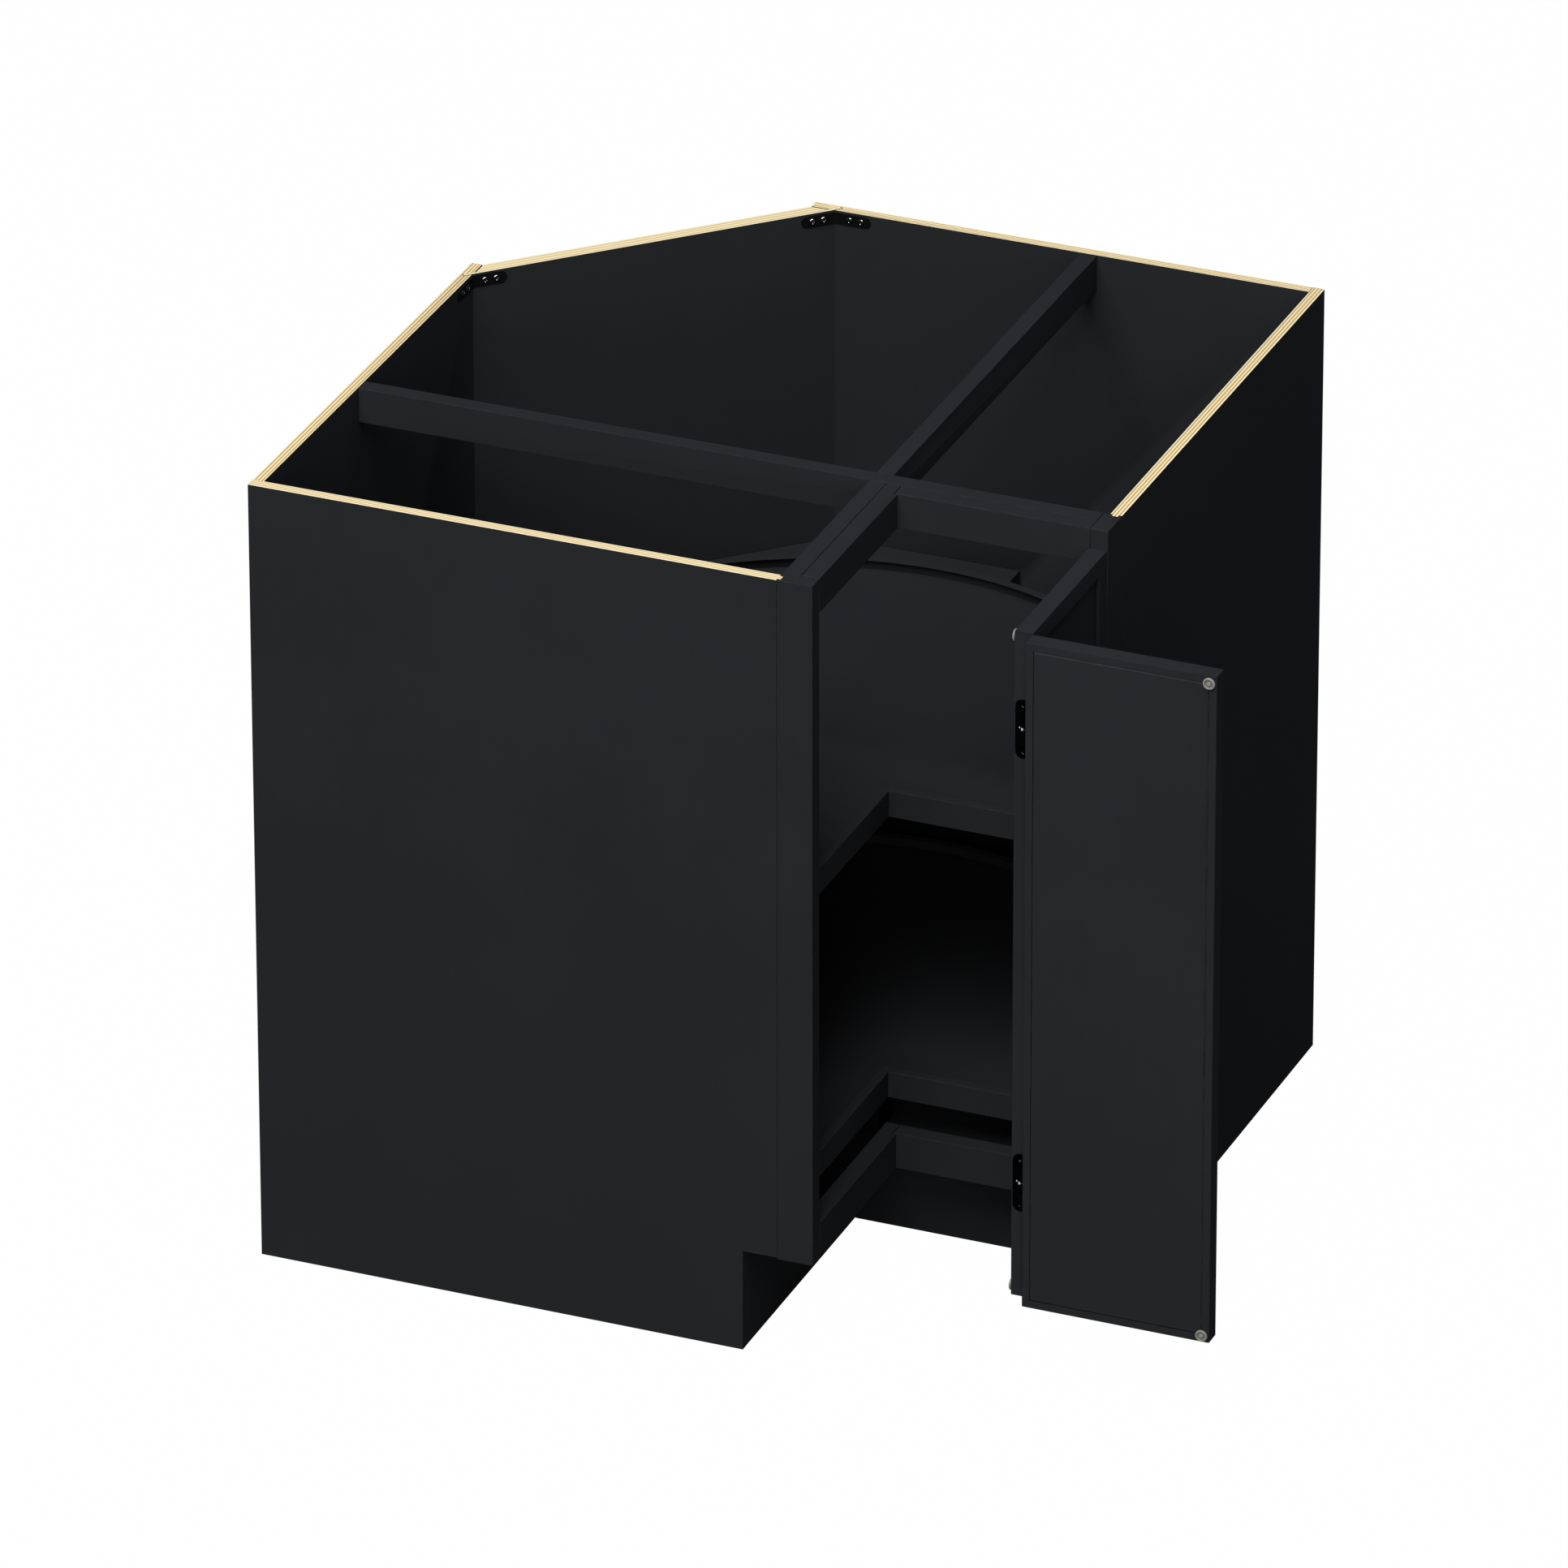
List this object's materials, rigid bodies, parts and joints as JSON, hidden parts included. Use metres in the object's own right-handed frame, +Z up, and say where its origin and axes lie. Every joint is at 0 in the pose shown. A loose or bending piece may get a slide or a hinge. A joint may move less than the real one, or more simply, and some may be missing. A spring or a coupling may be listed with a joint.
{
  "type": "corner carousel cabinet",
  "caption": "Black corner base cabinet with a bi-fold pair of slim-framed doors and round notched carousel trays that turn on ball swivels above a recessed toe space.",
  "frame": {"origin": "middle of the whole footprint at floor level, with the doors standing open as pictured", "axes": "+X from the left back wall towards the right end panel and along the pictured left door leaf, +Y from the left end panel to the right back wall, +Z up"},
  "size_m": [1.0368, 0.836, 0.8763],
  "materials": {
    "black_board": "satin black lacquer over board",
    "door_board": "satin black lacquer, smooth",
    "tray_board": "satin black lacquer",
    "faced_plywood": "black-faced plywood with bare light edges on top",
    "riser_plywood": "black painted plywood",
    "black_steel": "black coated steel, semi-gloss",
    "zinc_steel": "bright zinc plate",
    "clear_bumper": "clear soft plastic"
  },
  "bodies": {
    "cabinet": {"bottom_deck": "black_board", "fixed_shelf": "black_board", "diagonal_back": "faced_plywood", "left_end_panel": "faced_plywood", "right_end_panel": "faced_plywood", "left_back_wall": "faced_plywood", "right_back_wall": "faced_plywood", "left_stile": "black_board", "right_stile": "black_board", "left_top_rail": "black_board", "right_top_rail": "black_board", "left_bottom_rail": "black_board", "right_bottom_rail": "black_board", "left_stretcher": "black_board", "right_stretcher": "black_board", "left_toe_board": "black_board", "right_toe_board": "black_board", "left_corner_bracket": "black_steel", "right_corner_bracket": "black_steel", "riser_board": "riser_plywood", "riser_bearer_front": "riser_plywood", "riser_bearer_back": "riser_plywood", "upper_swivel_base": "zinc_steel", "lower_swivel_base": "zinc_steel", "upper_frame_hinge_arm": "black_steel", "lower_frame_hinge_arm": "black_steel"},
    "right_leaf": {"right_leaf_hinge_stile": "door_board", "right_leaf_far_stile": "door_board", "right_leaf_top_rail": "door_board", "right_leaf_bottom_rail": "door_board", "right_leaf_panel": "door_board", "right_leaf_upper_bumper": "clear_bumper", "right_leaf_lower_bumper": "clear_bumper", "upper_fold_hinge_right_half": "black_steel", "lower_fold_hinge_right_half": "black_steel", "upper_frame_hinge_cup": "black_steel", "lower_frame_hinge_cup": "black_steel"},
    "left_leaf": {"left_leaf_hinge_stile": "door_board", "left_leaf_far_stile": "door_board", "left_leaf_top_rail": "door_board", "left_leaf_bottom_rail": "door_board", "left_leaf_panel": "door_board", "left_leaf_upper_bumper": "clear_bumper", "left_leaf_lower_bumper": "clear_bumper", "upper_fold_hinge_left_half": "black_steel", "lower_fold_hinge_left_half": "black_steel"},
    "fold_links": {"upper_fold_hinge_links": "black_steel", "lower_fold_hinge_links": "black_steel"},
    "upper_tray": {"upper_tray_floor": "tray_board", "upper_tray_rim": "tray_board", "upper_tray_left_lip": "tray_board", "upper_tray_right_lip": "tray_board", "upper_swivel_top": "zinc_steel"},
    "lower_tray": {"lower_tray_floor": "tray_board", "lower_tray_rim": "tray_board", "lower_tray_left_lip": "tray_board", "lower_tray_right_lip": "tray_board", "lower_swivel_top": "zinc_steel"},
    "upper_balls": {"upper_swivel_balls": "zinc_steel"},
    "lower_balls": {"lower_swivel_balls": "zinc_steel"}
  },
  "joints": [
    {"name": "door_swing", "type": "hinge", "parent": "cabinet", "child": "right_leaf", "pos_m": [0.30605, -0.20463, 0], "axis": [0, 0, 1], "range_deg": [-90, 15]},
    {"name": "leaf_fold", "type": "hinge", "parent": "right_leaf", "child": "left_leaf", "pos_m": [0.31657, -0.39595, 0], "axis": [0, 0, 1], "range_deg": [0, 80]},
    {"name": "link_fold", "type": "hinge", "parent": "right_leaf", "child": "fold_links", "pos_m": [0.31657, -0.39595, 0], "axis": [0, 0, 1], "range_deg": [0, 40]},
    {"name": "upper_tray_spin", "type": "hinge", "parent": "cabinet", "child": "upper_tray", "pos_m": [-0.06743, -0.033, 0], "axis": [0, 0, 1], "range_deg": [-360, 360]},
    {"name": "lower_tray_spin", "type": "hinge", "parent": "cabinet", "child": "lower_tray", "pos_m": [-0.06743, -0.033, 0], "axis": [0, 0, 1], "range_deg": [-360, 360]},
    {"name": "upper_balls_roll", "type": "hinge", "parent": "cabinet", "child": "upper_balls", "pos_m": [-0.06743, -0.033, 0], "axis": [0, 0, 1], "range_deg": [-180, 180]},
    {"name": "lower_balls_roll", "type": "hinge", "parent": "cabinet", "child": "lower_balls", "pos_m": [-0.06743, -0.033, 0], "axis": [0, 0, 1], "range_deg": [-180, 180]}
  ],
  "couplings": [
    {"joint": "link_fold", "follows": "leaf_fold", "ratio": 0.5},
    {"joint": "upper_balls_roll", "follows": "upper_tray_spin", "ratio": 0.5},
    {"joint": "lower_balls_roll", "follows": "lower_tray_spin", "ratio": 0.5}
  ]
}
